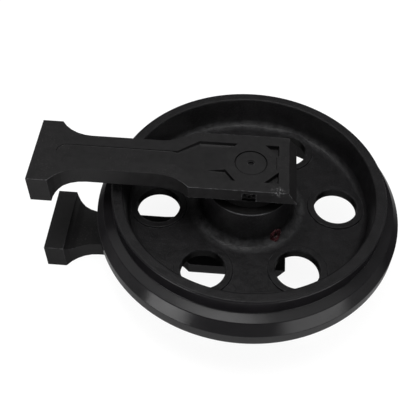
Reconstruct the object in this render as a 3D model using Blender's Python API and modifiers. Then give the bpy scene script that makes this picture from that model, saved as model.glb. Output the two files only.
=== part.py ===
"""Front idler of a tracked excavator, lying on its side with the wheel's axis upright.

The wheel turns on a fixed shaft that two T-shaped brackets hold at its ends. Heights named
..._z are measured from the wheel's middle plane, the other places from the wheel's axis.
"""
import math

import bmesh
import bpy
from mathutils import Matrix, Vector

MM = 0.001

# Clearances and tool allowances (mm)
fit_gap = 0.3
seal_face_gap = 0.15
cut_over = 5.0
join_overlap = 2.0
edge_break = 0.6

# Roundness: sides of turned pieces, steps of fillets, angle that counts as an edge
wheel_segments = 48
large_segments = 32
small_segments = 20
fine_segments = 12
toric_sides = 6
web_fillet_steps = 2
rim_edge_steps = 2
tee_fillet_steps = 5
neck_fillet_steps = 5
tee_inner_fillet_steps = 5
trough_end_steps = 5
edge_steps = 2
bevel_angle = math.radians(28)
smooth_angle = math.radians(35)
merge_distance = 0.01

# Guide flange and rim (mm)
flange_radius = 215.0
flange_crest_half_width = 8.5
flange_shoulder_drop = 10.0
flange_shoulder_width = 15.5
flange_side_slope = 3.5
flange_height = 23.5
tread_root_fillet = 1.5
rim_half_width = 51.0
rim_thickness = 15.5
rim_draft = 4.5
rim_edge_radius = 3.0

# Web and its holes (mm)
web_half_thickness = 5.0
web_rim_fillet = 10.0
web_hub_fillet = 10.0
hole_count = 6
hole_first_angle = math.radians(4.6)
hole_rim_land = 12.2
hole_hub_land = 29.4
collar_width = 8.5
collar_rise = 2.2
collar_draft = 1.8

# Hub (mm)
hub_half_length = 60.0
hub_wall = 20.0
hub_draft = 6.0
hub_chamfer = 2.0
oil_room_depth = 4.9
oil_room_half_length = 17.0

# Shaft and bushes (mm)
shaft_radius = 22.0
shaft_end_recess = 0.6
shaft_chamfer = 1.5
oil_bore_radius = 3.0
bush_wall = 4.0
bush_flange_width = 6.5
bush_flange_thickness = 4.0

# Floating seals (mm)
toric_radius = 3.7
toric_overhang = 0.4
seal_gap = 2.0
seal_ring_bore_gap = 6.0
seal_ring_wall = 4.5
seal_ring_rim_gap = 2.0
seal_ring_face_thickness = 4.0
seal_ring_lead = 2.5
seal_pocket_room = 2.15

# Shaft O-rings (mm)
o_ring_groove_depth = 2.2
o_ring_groove_width = 3.0
o_ring_inset = 0.5
o_ring_corner_share = 0.4

# Lock pins (mm)
pin_radius = 4.5
pin_land = 0.7
pin_cover = 9.2
pin_pocket_width = 18.5
pin_pocket_height = 17.0
pin_pocket_drop = 9.0
pin_pocket_depth = 7.0
pin_proud = 5.0
pin_far_grip = 8.5
pin_socket_radius = 2.0
pin_socket_depth = 7.0

# Plugs (mm)
plug_socket_share = 0.5
shaft_plug_radius = 5.0
shaft_plug_land = 1.6
shaft_plug_inset = 1.0
shaft_plug_socket_share = 0.6
hub_plug_radius = 5.5
hub_plug_length = 11.0
hub_plug_rise = 8.0
hub_plug_angle = math.radians(-53.3)
hub_plug_seat_rise = 1.0
hub_plug_proud = 0.8
hub_plug_socket_depth = 3.5
spot_face_radius = 7.2

# Bracket head and its seal collar (mm)
bracket_collar_height = 16.0
bracket_collar_wall = 8.5
head_side_land = 2.0
head_end_land = 2.5
head_end_slope = 12.0
head_back = 80.5
neck_fillet = 60.0

# Bracket arm and T-shaped end (mm)
arm_half_width = 31.2
arm_rim_gap = 20.5
inner_step_setback = 5.5
inner_step_length = 38.0
tee_rim_gap = 4.4
tee_flange_gap = 51.5
tee_depth = 28.5
tee_half_width = 55.6
tee_fillet = 54.0
tee_inner_fillet = 20.0
bracket_edge = 1.6
yoke_bolt_radius = 7.0
yoke_bolt_floor = 8.5
yoke_bolt_edge = 20.0

# Recess in the bracket's outer face (mm)
recess_depth = 5.0
recess_floor_fillet = 1.8
trough_end_depth = 2.0
recess_side_wall = 17.5
recess_end_wall = 13.5
trough_half_width = 12.5
trough_end_land = 30.0
trough_flare_setback = 8.5
trough_flare_length = 29.0
boss_wall = 16.2
rib_half_width = 17.0
rib_length = 18.0

# Wheel places worked out from the sizes above (mm)
tread_radius = flange_radius - flange_height
flange_shoulder_radius = flange_radius - flange_shoulder_drop
flange_shoulder_z = flange_crest_half_width + flange_shoulder_width
flange_root_z = flange_shoulder_z + flange_side_slope
rim_inner_radius = tread_radius - rim_thickness
rim_foot_radius = rim_inner_radius - rim_draft
bush_bore_radius = shaft_radius + fit_gap
bush_outer_radius = bush_bore_radius + bush_wall
bush_flange_radius = bush_outer_radius + bush_flange_width
hub_bore_radius = bush_outer_radius + fit_gap
oil_room_radius = hub_bore_radius + oil_room_depth
seal_ring_inner_radius = shaft_radius + seal_ring_bore_gap
seal_ring_neck_radius = seal_ring_inner_radius + seal_ring_wall
seal_ring_length = seal_ring_face_thickness + 2 * toric_radius - toric_overhang
seal_pocket_radius = seal_ring_neck_radius + 2 * (fit_gap + toric_radius)
seal_ring_outer_radius = seal_pocket_radius - seal_ring_rim_gap
seal_pocket_depth = (seal_ring_face_thickness + fit_gap + 2 * toric_radius + seal_pocket_room
                     + seal_face_gap - seal_gap / 2)
hub_end_radius = seal_pocket_radius + hub_wall
hub_root_radius = hub_end_radius + hub_draft
hub_seal_floor_z = hub_half_length - seal_pocket_depth
bush_seat_z = hub_seal_floor_z - bush_flange_thickness - fit_gap
hole_radius = (rim_foot_radius - hub_root_radius - hole_rim_land - hole_hub_land) / 2
hole_circle_radius = rim_foot_radius - hole_rim_land - hole_radius
hub_plug_z = web_half_thickness + hub_plug_rise
hub_plug_seat = hub_root_radius + hub_plug_seat_rise

# Bracket places worked out from the sizes above (mm)
seal_plane_z = hub_half_length + seal_gap / 2
collar_face_z = hub_half_length + seal_gap
bracket_seal_floor_z = collar_face_z + seal_pocket_depth
o_ring_z = bracket_seal_floor_z + o_ring_inset + o_ring_groove_width / 2
pin_z = o_ring_z + o_ring_groove_width / 2 + pin_land + fit_gap + pin_radius
overall_half_width = pin_z + pin_radius + fit_gap + pin_cover
shaft_half_length = overall_half_width - shaft_end_recess
shaft_plug_seat_z = pin_z + pin_radius + fit_gap + shaft_plug_land
head_inner_z = collar_face_z + bracket_collar_height
arm_inner_z = rim_half_width + arm_rim_gap
tee_inner_z = rim_half_width + tee_rim_gap
tee_reach = flange_radius + tee_flange_gap + tee_depth
wheel_axis_x = (tee_reach - flange_radius) / 2
bracket_collar_radius = seal_pocket_radius + bracket_collar_wall
head_half_width = bracket_collar_radius + head_side_land
head_end = bracket_collar_radius + head_end_land
boss_radius = shaft_radius + fit_gap + boss_wall
recess_half_width = head_half_width - recess_side_wall
recess_floor_z = overall_half_width - recess_depth


def clear_scene():
    for item in list(bpy.data.objects):
        bpy.data.objects.remove(item, do_unlink=True)


def make_collection(name):
    group = bpy.data.collections.new(name)
    bpy.context.scene.collection.children.link(group)
    return group


def make_material(name, colour, roughness, metallic):
    paint = bpy.data.materials.new(name)
    paint.use_nodes = True
    shader = paint.node_tree.nodes["Principled BSDF"]
    shader.inputs["Base Color"].default_value = (*colour, 1.0)
    shader.inputs["Roughness"].default_value = roughness
    shader.inputs["Metallic"].default_value = metallic
    return paint


def add_object(name, mesh, group, material=None, parent=None):
    item = bpy.data.objects.new(name, mesh)
    group.objects.link(item)
    if material:
        mesh.materials.clear()
        mesh.materials.append(material)
    item.parent = parent
    return item


def add_empty(name, group, location, parent=None):
    marker = bpy.data.objects.new(name, None)
    marker.location = location
    marker.parent = parent
    group.objects.link(marker)
    return marker


def hide_cutter(item):
    item.hide_render = True
    item.display_type = "WIRE"
    return item


def smooth(mesh):
    mesh.shade_smooth()
    mesh.set_sharp_from_angle(angle=smooth_angle)


def turned_mesh(name, outline, segments, closed=True):
    """An outline of (radius, height) in mm turned round Z. An open one ends on the axis."""
    profile = bpy.data.meshes.new(name + "_profile")
    points = [(r * MM, 0.0, z * MM) for r, z in outline]
    edges = [(i, i + 1) for i in range(len(points) - 1)]
    if closed:
        edges.append((len(points) - 1, 0))
    profile.from_pydata(points, edges, [])
    holder = bpy.data.objects.new(name + "_profile", profile)
    bpy.context.scene.collection.objects.link(holder)
    screw = holder.modifiers.new("Turn", "SCREW")
    screw.angle = math.tau
    screw.steps = segments
    screw.render_steps = segments
    screw.use_merge_vertices = True
    screw.merge_threshold = merge_distance * MM
    mesh = evaluated_mesh(holder, name)
    bpy.data.objects.remove(holder, do_unlink=True)
    bpy.data.meshes.remove(profile)
    return mesh


def evaluated_mesh(item, name):
    """The mesh of an object with its modifiers applied."""
    bpy.context.view_layer.update()
    evaluated = item.evaluated_get(bpy.context.evaluated_depsgraph_get())
    mesh = bpy.data.meshes.new_from_object(evaluated)
    mesh.name = name
    return mesh


def arc(centre, radius, start, end, steps):
    """Points from angle start to angle end, in degrees, both ends included."""
    points = []
    for i in range(steps + 1):
        a = math.radians(start + (end - start) * i / steps)
        points.append((centre[0] + radius * math.cos(a), centre[1] + radius * math.sin(a)))
    return points


def extruded_mesh(name, outline, low, high, upright="Z"):
    """A flat outline in mm made a prism, along Z from its XY plane or along Y from its XZ plane."""
    curve = bpy.data.curves.new(name, "CURVE")
    curve.dimensions = "2D"
    curve.fill_mode = "BOTH"
    curve.extrude = (high - low) / 2 * MM
    line = curve.splines.new("POLY")
    line.points.add(len(outline) - 1)
    for point, (x, y) in zip(line.points, outline):
        point.co = (x * MM, y * MM, 0.0, 1.0)
    line.use_cyclic_u = True
    holder = bpy.data.objects.new(name, curve)
    bpy.context.scene.collection.objects.link(holder)
    mesh = evaluated_mesh(holder, name)
    bpy.data.objects.remove(holder, do_unlink=True)
    bpy.data.curves.remove(curve)
    mesh.transform(Matrix.Translation((0, 0, (low + high) / 2 * MM)))
    if upright == "Y":
        mesh.transform(Matrix.Rotation(math.radians(90), 4, "X"))
    weld = bmesh.new()
    weld.from_mesh(mesh)
    bmesh.ops.remove_doubles(weld, verts=weld.verts, dist=merge_distance * MM)
    bmesh.ops.recalc_face_normals(weld, faces=weld.faces)
    weld.to_mesh(mesh)
    weld.free()
    return mesh


def cylinder_mesh(name, radius, start, end, segments):
    """A solid cylinder between two points in mm."""
    start, end = Vector(start) * MM, Vector(end) * MM
    work = bmesh.new()
    bmesh.ops.create_cone(work, cap_ends=True, segments=segments, radius1=radius * MM,
                          radius2=radius * MM, depth=(end - start).length)
    turn = (end - start).to_track_quat("Z", "Y").to_matrix().to_4x4()
    bmesh.ops.transform(work, matrix=Matrix.Translation((start + end) / 2) @ turn, verts=work.verts)
    mesh = bpy.data.meshes.new(name)
    work.to_mesh(mesh)
    work.free()
    return mesh


def box_mesh(name, low, high):
    """A box between two corners in mm."""
    work = bmesh.new()
    bmesh.ops.create_cube(work, size=1.0)
    size = [(h - l) * MM for l, h in zip(low, high)]
    centre = [(h + l) / 2 * MM for l, h in zip(low, high)]
    bmesh.ops.scale(work, vec=size, verts=work.verts)
    bmesh.ops.translate(work, vec=centre, verts=work.verts)
    mesh = bpy.data.meshes.new(name)
    work.to_mesh(mesh)
    work.free()
    return mesh


def combine(target, tool_mesh, operation, label):
    """Adds a Boolean with a wire object placed and carried like the target."""
    tool = add_object(label, tool_mesh, cutters, parent=target.parent)
    hide_cutter(tool)
    step = target.modifiers.new(label, "BOOLEAN")
    step.operation = operation
    step.object = tool
    step.solver = "EXACT"
    return tool


def add_bevel(item, name, width):
    step = item.modifiers.new(name, "BEVEL")
    step.width = width * MM
    step.segments = edge_steps
    step.limit_method = "ANGLE"
    step.angle_limit = bevel_angle


def mirrored_mesh(mesh, name):
    """The same piece on the other side of the wheel's middle plane."""
    copy = mesh.copy()
    copy.name = name
    copy.transform(Matrix.Scale(-1, 4, (0, 0, 1)))
    copy.flip_normals()
    return copy


def mirrored_pair(name, mesh, material, parent):
    """Upper and lower copies of a piece that sits on both sides of the wheel."""
    upper = add_object(name + "_upper", mesh, parts, material, parent)
    lower = add_object(name + "_lower", mirrored_mesh(mesh, name + "_lower"), parts, material, parent)
    return upper, lower


# Wheel

def wheel_outline():
    """Section of the wheel: over the top outwards, down the outer side, back under, up the bore."""
    hub_fillet_centre = (hub_root_radius + web_hub_fillet, web_half_thickness + web_hub_fillet)
    rim_fillet_centre = (rim_foot_radius - web_rim_fillet, web_half_thickness + web_rim_fillet)
    rim_edge_z = rim_half_width - rim_edge_radius
    top = [
        (oil_room_radius, oil_room_half_length),
        (hub_bore_radius, oil_room_half_length),
        (hub_bore_radius, bush_seat_z),
        (bush_flange_radius + fit_gap, bush_seat_z),
        (bush_flange_radius + fit_gap, hub_seal_floor_z),
        (seal_pocket_radius, hub_seal_floor_z),
        (seal_pocket_radius, hub_half_length),
        (hub_end_radius - hub_chamfer, hub_half_length),
        (hub_end_radius, hub_half_length - hub_chamfer),
    ]
    top += arc(hub_fillet_centre, web_hub_fillet, 180, 270, web_fillet_steps)
    top += arc(rim_fillet_centre, web_rim_fillet, 270, 360, web_fillet_steps)
    top += arc((rim_inner_radius + rim_edge_radius, rim_edge_z), rim_edge_radius, 180, 90, rim_edge_steps)
    top += arc((tread_radius - rim_edge_radius, rim_edge_z), rim_edge_radius, 90, 0, rim_edge_steps)
    top += [
        (tread_radius, flange_root_z + tread_root_fillet),
        (tread_radius + tread_root_fillet, flange_root_z),
        (flange_shoulder_radius, flange_shoulder_z),
        (flange_radius, flange_crest_half_width),
    ]
    return top + [(r, -z) for r, z in reversed(top)]


def at_hole_places(mesh, name):
    """Copies of a mesh, one at each web hole, as one mesh of separate bodies."""
    work = bmesh.new()
    for k in range(hole_count):
        turn = Matrix.Rotation(hole_first_angle + math.tau * k / hole_count, 4, "Z")
        placed = mesh.copy()
        placed.transform(turn @ Matrix.Translation((hole_circle_radius * MM, 0, 0)))
        work.from_mesh(placed)
        bpy.data.meshes.remove(placed)
    joined = bpy.data.meshes.new(name)
    work.to_mesh(joined)
    work.free()
    return joined


def plug_point(radius):
    """Point in mm on the hub plug's radial line."""
    return (radius * math.cos(hub_plug_angle), radius * math.sin(hub_plug_angle), hub_plug_z)


def make_wheel(material, parent):
    wheel = add_object("idler_wheel", turned_mesh("idler_wheel", wheel_outline(), wheel_segments),
                       parts, material, parent)
    spot = cylinder_mesh("spot_face", spot_face_radius, plug_point(hub_plug_seat),
                         plug_point(hub_plug_seat + web_hub_fillet), small_segments)
    combine(wheel, spot, "DIFFERENCE", "spot_face")
    bore_floor = hub_plug_seat + hub_plug_proud - hub_plug_length - fit_gap
    bore = cylinder_mesh("plug_bore", hub_plug_radius + fit_gap, plug_point(bore_floor),
                         plug_point(hub_plug_seat + cut_over), small_segments)
    combine(wheel, bore, "DIFFERENCE", "plug_bore")
    channel = cylinder_mesh("filler_channel", oil_bore_radius, plug_point(oil_room_radius - cut_over),
                            plug_point(bore_floor + cut_over), fine_segments)
    combine(wheel, channel, "DIFFERENCE", "filler_channel")
    collar_z = web_half_thickness + collar_rise
    collar_radius = hole_radius + collar_width
    foot_z = web_half_thickness - collar_rise
    outline = [
        (hole_radius - join_overlap, collar_z),
        (collar_radius, collar_z),
        (collar_radius + collar_draft, foot_z),
        (collar_radius + collar_draft, -foot_z),
        (collar_radius, -collar_z),
        (hole_radius - join_overlap, -collar_z),
    ]
    collar = turned_mesh("collar", outline, small_segments)
    combine(wheel, at_hole_places(collar, "collars"), "UNION", "collars")
    reach = collar_z + cut_over
    hole = cylinder_mesh("web_hole", hole_radius, (0, 0, -reach), (0, 0, reach), small_segments)
    combine(wheel, at_hole_places(hole, "web_holes"), "DIFFERENCE", "web_holes")
    smooth(wheel.data)
    return wheel


def make_hub_plug(material, parent):
    """Screwed plug with a square-edged socket, its origin at the socket's floor."""
    foot = hub_plug_socket_depth - hub_plug_length
    socket = hub_plug_radius * plug_socket_share
    outline = [
        (0, 0),
        (socket, 0),
        (socket, hub_plug_socket_depth),
        (hub_plug_radius - edge_break, hub_plug_socket_depth),
        (hub_plug_radius, hub_plug_socket_depth - edge_break),
        (hub_plug_radius, foot),
        (0, foot),
    ]
    mesh = turned_mesh("hub_oil_plug", outline, fine_segments, closed=False)
    smooth(mesh)
    plug = add_object("hub_oil_plug", mesh, parts, material, parent)
    plug.location = Vector(plug_point(hub_plug_seat + hub_plug_proud - hub_plug_socket_depth)) * MM
    outward = Vector((math.cos(hub_plug_angle), math.sin(hub_plug_angle), 0))
    plug.rotation_euler = outward.to_track_quat("Z", "Y").to_euler()
    return plug


# Bushes and seals

def make_bushes(material, parent):
    top = hub_seal_floor_z - fit_gap
    outline = [
        (bush_bore_radius + edge_break, top),
        (bush_flange_radius - edge_break, top),
        (bush_flange_radius, top - edge_break),
        (bush_flange_radius, bush_seat_z + fit_gap),
        (bush_outer_radius, bush_seat_z + fit_gap),
        (bush_outer_radius, oil_room_half_length + edge_break),
        (bush_outer_radius - edge_break, oil_room_half_length),
        (bush_bore_radius, oil_room_half_length),
        (bush_bore_radius, top - edge_break),
    ]
    mesh = turned_mesh("bush", outline, small_segments)
    smooth(mesh)
    return mirrored_pair("bush", mesh, material, parent)


def seal_ring_outline():
    """Section of a seal ring, its lapped face at height 0 and its neck hanging below."""
    foot = -seal_ring_length
    return [
        (seal_ring_inner_radius + seal_ring_lead, 0),
        (seal_ring_outer_radius - edge_break, 0),
        (seal_ring_outer_radius, -edge_break),
        (seal_ring_outer_radius, -seal_ring_face_thickness),
        (seal_ring_neck_radius, -seal_ring_face_thickness),
        (seal_ring_neck_radius, foot),
        (seal_ring_inner_radius, foot),
        (seal_ring_inner_radius, -seal_ring_lead),
    ]


def toric_outline():
    """Section of the rubber ring that lies between the seal ring's neck and the pocket's wall."""
    centre = (seal_ring_neck_radius + fit_gap + toric_radius,
              -seal_ring_face_thickness - fit_gap - toric_radius)
    return arc(centre, toric_radius, 90, -270, toric_sides)[:-1]


def make_seals(metal, rubber, wheel_parent, bracket_parent):
    lapped_z = seal_plane_z - seal_face_gap
    ring = turned_mesh("seal_ring", seal_ring_outline(), small_segments)
    toric = turned_mesh("toric_ring", toric_outline(), small_segments)
    for mesh in (ring, toric):
        smooth(mesh)
    for mesh, label, material in ((ring, "seal_ring", metal), (toric, "toric_ring", rubber)):
        below = mesh.copy()
        below.transform(Matrix.Translation((0, 0, lapped_z * MM)))
        mirrored_pair(f"{label}_wheel", below, material, wheel_parent)
        above = mirrored_mesh(mesh, f"{label}_bracket")
        above.transform(Matrix.Translation((0, 0, (2 * seal_plane_z - lapped_z) * MM)))
        mirrored_pair(f"{label}_bracket", above, material, bracket_parent)


# Shaft and what sits on it

def make_shaft(material, parent):
    groove_radius = shaft_radius - o_ring_groove_depth
    half_groove = o_ring_groove_width / 2
    top = [
        (0, shaft_half_length),
        (shaft_radius - shaft_chamfer, shaft_half_length),
        (shaft_radius, shaft_half_length - shaft_chamfer),
        (shaft_radius, o_ring_z + half_groove),
        (groove_radius, o_ring_z + half_groove),
        (groove_radius, o_ring_z - half_groove),
        (shaft_radius, o_ring_z - half_groove),
    ]
    outline = top + [(r, -z) for r, z in reversed(top)]
    mesh = turned_mesh("idler_shaft", outline, large_segments, closed=False)
    shaft = add_object("idler_shaft", mesh, parts, material, parent)
    reach = shaft_radius + cut_over
    for side, label in ((1, "upper"), (-1, "lower")):
        cross = cylinder_mesh("pin_bore", pin_radius + fit_gap, (0, -reach, side * pin_z),
                              (0, reach, side * pin_z), fine_segments)
        combine(shaft, cross, "DIFFERENCE", f"pin_bore_{label}")
    seat = cylinder_mesh("plug_seat", shaft_plug_radius + fit_gap, (0, 0, shaft_plug_seat_z),
                         (0, 0, shaft_half_length + cut_over), fine_segments)
    combine(shaft, seat, "DIFFERENCE", "plug_seat")
    smooth(shaft.data)
    return shaft


def make_shaft_plug(material, parent):
    top = shaft_half_length - shaft_plug_inset
    foot = shaft_plug_seat_z + fit_gap
    socket_floor = top - shaft_plug_socket_share * (top - foot)
    socket = shaft_plug_radius * plug_socket_share
    outline = [
        (0, socket_floor),
        (socket, socket_floor),
        (socket, top),
        (shaft_plug_radius - edge_break, top),
        (shaft_plug_radius, top - edge_break),
        (shaft_plug_radius, foot),
        (0, foot),
    ]
    mesh = turned_mesh("shaft_plug", outline, fine_segments, closed=False)
    smooth(mesh)
    return add_object("shaft_plug", mesh, parts, material, parent)


def make_shaft_o_rings(rubber, parent):
    inner = shaft_radius - o_ring_groove_depth + fit_gap
    outer = shaft_radius
    top = o_ring_z + o_ring_groove_width / 2 - fit_gap
    foot = o_ring_z - o_ring_groove_width / 2 + fit_gap
    corner = (outer - inner) * o_ring_corner_share
    outline = [
        (inner, top - corner),
        (inner + corner, top),
        (outer - corner, top),
        (outer, top - corner),
        (outer, foot + corner),
        (outer - corner, foot),
        (inner + corner, foot),
        (inner, foot + corner),
    ]
    mesh = turned_mesh("shaft_o_ring", outline, small_segments)
    smooth(mesh)
    return mirrored_pair("shaft_o_ring", mesh, rubber, parent)


def make_lock_pins(material, parent):
    """Pins along Y through bracket and shaft, with a blind socket in the outer end for drawing them."""
    far = shaft_radius + pin_far_grip
    length = far + head_half_width - pin_pocket_depth + pin_proud
    outline = [
        (0, length - pin_socket_depth),
        (pin_socket_radius, length - pin_socket_depth),
        (pin_socket_radius, length),
        (pin_radius - edge_break, length),
        (pin_radius, length - edge_break),
        (pin_radius, edge_break),
        (pin_radius - edge_break, 0),
        (0, 0),
    ]
    mesh = turned_mesh("lock_pin", outline, fine_segments, closed=False)
    mesh.transform(Matrix.Rotation(math.radians(90), 4, "X"))
    mesh.transform(Matrix.Translation((0, far * MM, pin_z * MM)))
    smooth(mesh)
    return mirrored_pair("lock_pin", mesh, material, parent)


# Brackets

def bracket_plan():
    """Outline of a bracket seen along the wheel's axis, drawn as a half and mirrored."""
    tee_rise = tee_half_width - arm_half_width
    tee_fillet_length = math.sqrt(tee_fillet ** 2 - (tee_fillet - tee_rise) ** 2)
    tee_fillet_start = 270 - math.degrees(math.asin(tee_fillet_length / tee_fillet))
    tee_fillet_centre = (tee_depth - tee_reach + tee_fillet_length, arm_half_width + tee_fillet)
    neck_rise = head_half_width - arm_half_width
    neck_length = math.sqrt(neck_fillet ** 2 - (neck_fillet - neck_rise) ** 2)
    neck_end = 270 + math.degrees(math.asin(neck_length / neck_fillet))
    neck_centre = (-head_back - neck_length, arm_half_width + neck_fillet)
    half = [(-tee_reach, tee_half_width)]
    half += arc(tee_fillet_centre, tee_fillet, tee_fillet_start, 270, tee_fillet_steps)
    half += arc(neck_centre, neck_fillet, 270, neck_end, neck_fillet_steps)
    half += [(head_end + head_end_slope, head_half_width)]
    return half + [(x, -y) for x, y in reversed(half)]


def bracket_side():
    """Outline of the upper bracket seen along Y, as (x, z)."""
    fillet_centre = (tee_depth - tee_reach + tee_inner_fillet, arm_inner_z - tee_inner_fillet)
    drop = arm_inner_z - tee_inner_z
    fillet_start = 90 + math.degrees(math.acos(1 - drop / tee_inner_fillet))
    step_end = -head_back + inner_step_setback
    points = [
        (-tee_reach, overall_half_width),
        (-tee_reach, tee_inner_z),
    ]
    points += arc(fillet_centre, tee_inner_fillet, fillet_start, 90, tee_inner_fillet_steps)
    points += [
        (step_end - inner_step_length, arm_inner_z),
        (step_end, head_inner_z),
        (head_end + head_end_slope, head_inner_z),
        (head_end, overall_half_width),
    ]
    return points


def recess_plan():
    """Outline of the sunk part of the outer face: a trough that opens into the head."""
    trough_end = (trough_end_land - tee_reach + trough_half_width, 0)
    flare_end = -head_back + trough_flare_setback
    half = arc(trough_end, trough_half_width, 180, 90, trough_end_steps)
    half += [
        (flare_end - trough_flare_length, trough_half_width),
        (flare_end, recess_half_width),
        (head_end - recess_end_wall, recess_half_width),
    ]
    return half + [(x, -y) for x, y in reversed(half[1:])]


def recess_side():
    """Outline of the sunk part seen along Y, as (x, z). Its floor rises along the trough."""
    top = overall_half_width + cut_over - join_overlap
    trough_tip = trough_end_land - tee_reach
    flare_start = trough_flare_setback - head_back - trough_flare_length
    run = flare_start - trough_tip
    rise = (recess_depth - trough_end_depth) * (run + cut_over) / run
    return [
        (trough_tip - cut_over, top),
        (trough_tip - cut_over, recess_floor_z + rise),
        (flare_start, recess_floor_z),
        (head_end, recess_floor_z),
        (head_end, top),
    ]


def make_recess_tool(parent):
    """The recess as a solid, with the boss and the rib left out of it and a rounded floor edge."""
    low = recess_floor_z - cut_over
    high = overall_half_width + cut_over
    tool = add_object("recess", extruded_mesh("recess", recess_plan(), low, high), cutters, parent=parent)
    side = extruded_mesh("recess_side", recess_side(), -head_half_width, head_half_width, upright="Y")
    combine(tool, side, "INTERSECT", "recess_floor")
    boss = cylinder_mesh("boss", boss_radius, (0, 0, low), (0, 0, high), large_segments)
    combine(tool, boss, "DIFFERENCE", "boss")
    rib = box_mesh("rib", (-boss_radius - rib_length, -rib_half_width, low),
                   (-boss_radius + join_overlap, rib_half_width, high))
    combine(tool, rib, "DIFFERENCE", "rib")
    add_bevel(tool, "Floor", recess_floor_fillet)
    mesh = evaluated_mesh(tool, "recess")
    bpy.data.objects.remove(tool, do_unlink=True)
    return mesh


def make_brackets(material, parent):
    over_z = overall_half_width + cut_over
    plan = extruded_mesh("bracket_plan", bracket_plan(), tee_inner_z - cut_over, over_z)
    bracket = add_object("bracket_upper", plan, parts, material, parent)
    reach = tee_half_width + cut_over
    side = extruded_mesh("bracket_side", bracket_side(), -reach, reach, upright="Y")
    combine(bracket, side, "INTERSECT", "side_outline")
    collar = cylinder_mesh("collar", bracket_collar_radius, (0, 0, collar_face_z),
                           (0, 0, head_inner_z + join_overlap), large_segments)
    combine(bracket, collar, "UNION", "seal_collar")
    add_bevel(bracket, "Edges", bracket_edge)
    combine(bracket, make_recess_tool(parent), "DIFFERENCE", "recess_cut")
    bore = cylinder_mesh("shaft_bore", shaft_radius + fit_gap, (0, 0, collar_face_z), (0, 0, over_z),
                         large_segments)
    combine(bracket, bore, "DIFFERENCE", "shaft_bore")
    pocket = cylinder_mesh("seal_pocket", seal_pocket_radius, (0, 0, collar_face_z - cut_over),
                           (0, 0, bracket_seal_floor_z), large_segments)
    combine(bracket, pocket, "DIFFERENCE", "seal_pocket")
    window = box_mesh("pin_pocket",
                      (-pin_pocket_width / 2, -head_half_width - cut_over, pin_z - pin_pocket_drop),
                      (pin_pocket_width / 2, -head_half_width + pin_pocket_depth,
                       pin_z - pin_pocket_drop + pin_pocket_height))
    combine(bracket, window, "DIFFERENCE", "pin_pocket")
    pin_hole = cylinder_mesh("pin_hole", pin_radius + fit_gap, (0, -head_half_width - cut_over, pin_z),
                             (0, shaft_radius + pin_far_grip + fit_gap, pin_z), fine_segments)
    combine(bracket, pin_hole, "DIFFERENCE", "pin_hole")
    bolt_y = tee_half_width - yoke_bolt_edge
    bolt_z = (overall_half_width + tee_inner_z) / 2
    for side_y, label in ((-bolt_y, "near"), (bolt_y, "far")):
        bolt = cylinder_mesh("yoke_bolt", yoke_bolt_radius, (-tee_reach - cut_over, side_y, bolt_z),
                             (-tee_reach + tee_depth - yoke_bolt_floor, side_y, bolt_z), fine_segments)
        combine(bracket, bolt, "DIFFERENCE", f"yoke_bolt_{label}")
    finished = evaluated_mesh(bracket, "bracket_finished")
    lower = add_object("bracket_lower", mirrored_mesh(finished, "bracket_lower"), parts, material, parent)
    bpy.data.meshes.remove(finished)
    for item in (bracket, lower):
        smooth(item.data)
    return bracket, lower


clear_scene()
parts = make_collection("front_idler")
cutters = make_collection("front_idler_cutters")

black_paint = make_material("black_paint", (0.018, 0.018, 0.019), 0.42, 0.0)
wheel_paint = make_material("wheel_paint", (0.020, 0.019, 0.021), 0.38, 0.0)
ground_steel = make_material("ground_steel", (0.30, 0.30, 0.31), 0.30, 1.0)
seal_iron = make_material("seal_iron", (0.24, 0.24, 0.25), 0.25, 1.0)
bronze = make_material("bronze", (0.55, 0.36, 0.16), 0.35, 1.0)
black_rubber = make_material("black_rubber", (0.012, 0.012, 0.012), 0.70, 0.0)
zinc_steel = make_material("zinc_steel", (0.36, 0.34, 0.30), 0.35, 1.0)

wheel_centre = add_empty("wheel_centre", parts, (wheel_axis_x * MM, 0, overall_half_width * MM))
wheel_spin = add_empty("wheel_spin", parts, (0, 0, 0), wheel_centre)

make_wheel(wheel_paint, wheel_spin)
make_hub_plug(zinc_steel, wheel_spin)
make_bushes(bronze, wheel_spin)
make_seals(seal_iron, black_rubber, wheel_spin, wheel_centre)
make_shaft(ground_steel, wheel_centre)
make_shaft_plug(zinc_steel, wheel_centre)
make_shaft_o_rings(black_rubber, wheel_centre)
make_lock_pins(ground_steel, wheel_centre)
make_brackets(black_paint, wheel_centre)
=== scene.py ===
import math

import bmesh
import bpy
from mathutils import Matrix, Vector


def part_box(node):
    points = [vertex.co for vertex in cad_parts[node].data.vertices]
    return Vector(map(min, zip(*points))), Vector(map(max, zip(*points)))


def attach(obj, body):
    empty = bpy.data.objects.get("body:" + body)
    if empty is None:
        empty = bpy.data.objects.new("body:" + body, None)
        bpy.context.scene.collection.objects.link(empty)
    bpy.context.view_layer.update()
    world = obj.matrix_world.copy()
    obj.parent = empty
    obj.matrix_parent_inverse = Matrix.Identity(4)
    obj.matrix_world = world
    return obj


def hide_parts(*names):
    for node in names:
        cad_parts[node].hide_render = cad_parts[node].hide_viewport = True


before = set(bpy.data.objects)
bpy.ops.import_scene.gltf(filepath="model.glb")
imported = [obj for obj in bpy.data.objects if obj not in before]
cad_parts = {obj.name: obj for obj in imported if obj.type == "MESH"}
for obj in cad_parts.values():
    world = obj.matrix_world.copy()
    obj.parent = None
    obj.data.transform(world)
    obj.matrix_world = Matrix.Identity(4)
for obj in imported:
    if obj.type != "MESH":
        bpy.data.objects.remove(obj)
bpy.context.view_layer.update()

# Camera
# It stands in front of the idler and above it, and looks down on the upper bracket. wheel_axis is
# the middle of the wheel, on its axis.
MM = 0.001
wheel_axis = Vector((0.040, 0.0, 0.098))
photo_side = 416
focal_pixels = 721.2
sensor_width = 36.0
camera_from_axis = Vector((-0.01677, -0.66425, 0.81019))
camera_right = Vector((0.996887, 0.077506, 0.014444))
camera_down = Vector((0.069151, -0.771577, -0.632366))
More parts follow.
